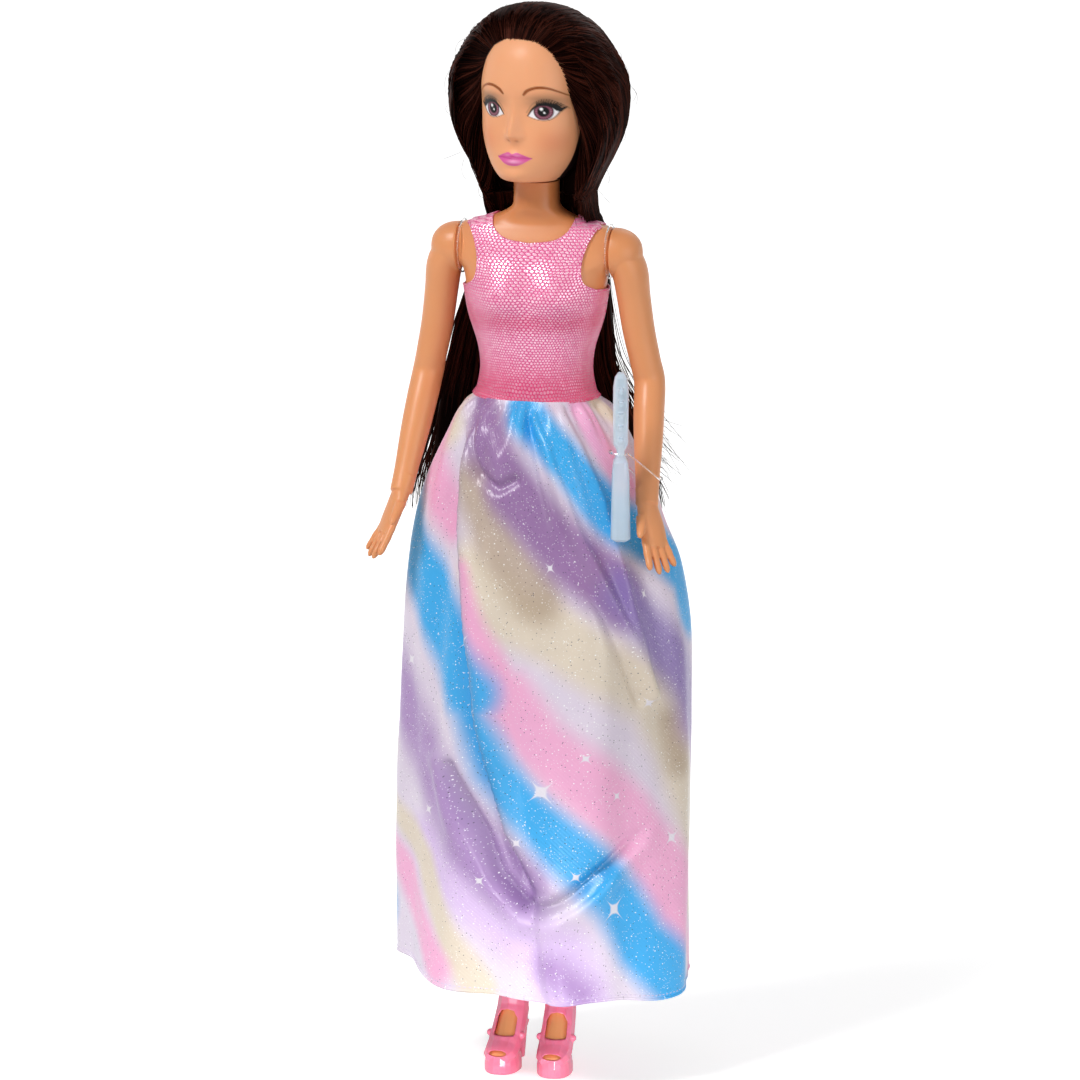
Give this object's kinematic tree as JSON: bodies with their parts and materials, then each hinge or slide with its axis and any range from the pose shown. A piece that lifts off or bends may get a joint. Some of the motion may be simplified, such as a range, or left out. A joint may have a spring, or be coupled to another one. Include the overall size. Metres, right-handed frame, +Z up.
{
  "type": "fashion doll",
  "caption": "Slim jointed fashion doll with long dark hair, a sleeveless top, a long gathered satin skirt, block-heeled peep-toe shoes and a toy comb tied at the left wrist.",
  "frame": {"origin": "on the floor between the feet, under the neck's turning axis and near the middle of the object's base", "axes": "+Z up, the doll faces -Y, its left side is +X"},
  "size_m": [0.0882, 0.0664, 0.298],
  "materials": {
    "torso_plastic": "satin injection-moulded plastic",
    "head_vinyl": "soft satin vinyl with painted features",
    "doll_hair": "glossy straight fibres",
    "pink_dot_knit": "fine knit with pearly dots",
    "printed_satin": "soft satin sheen",
    "pink_vinyl": "glossy soft moulding",
    "clear_blue_plastic": "glossy translucent moulding",
    "clear_thread": "clear glossy thread",
    "white_tape": "matt woven tape"
  },
  "bodies": {
    "torso": {"torso_front": "torso_plastic", "torso_back": "torso_plastic", "neck_knob": "torso_plastic", "bodice_front": "pink_dot_knit", "bodice_back_left": "pink_dot_knit", "bodice_back_right": "pink_dot_knit", "back_closure": "white_tape", "waist_tape": "white_tape", "skirt": "printed_satin", "hair_fall": "doll_hair", "right_shoulder_tie": "clear_thread", "left_shoulder_tie": "clear_thread"},
    "head": {"head": "head_vinyl", "hair_crown": "doll_hair"},
    "right_arm": {"right_arm": "torso_plastic"},
    "left_arm": {"left_arm": "torso_plastic", "comb": "clear_blue_plastic", "wrist_tie": "clear_thread"},
    "right_leg": {"right_leg": "torso_plastic", "right_shoe": "pink_vinyl"},
    "left_leg": {"left_leg": "torso_plastic", "left_shoe": "pink_vinyl"}
  },
  "joints": [
    {"name": "head_turn", "type": "hinge", "parent": "torso", "child": "head", "pos_m": [0, 0, 0.25], "axis": [0, 0, 1], "range_deg": [-44, 76], "deforming": ["hair_fall"]},
    {"name": "right_shoulder", "type": "hinge", "parent": "torso", "child": "right_arm", "pos_m": [-0.0211, 0, 0.2308], "axis": [-1, 0, 0], "continuous": true, "deforming": ["skirt", "hair_fall"]},
    {"name": "left_shoulder", "type": "hinge", "parent": "torso", "child": "left_arm", "pos_m": [0.0211, 0, 0.2308], "axis": [-1, 0, 0], "continuous": true, "deforming": ["skirt", "hair_fall"]},
    {"name": "right_hip", "type": "hinge", "parent": "torso", "child": "right_leg", "pos_m": [-0.0078, 0, 0.17], "axis": [-1, 0, 0], "range_deg": [-15, 90], "deforming": ["skirt"]},
    {"name": "left_hip", "type": "hinge", "parent": "torso", "child": "left_leg", "pos_m": [0.0078, 0, 0.17], "axis": [-1, 0, 0], "range_deg": [-15, 90], "deforming": ["skirt"]}
  ]
}
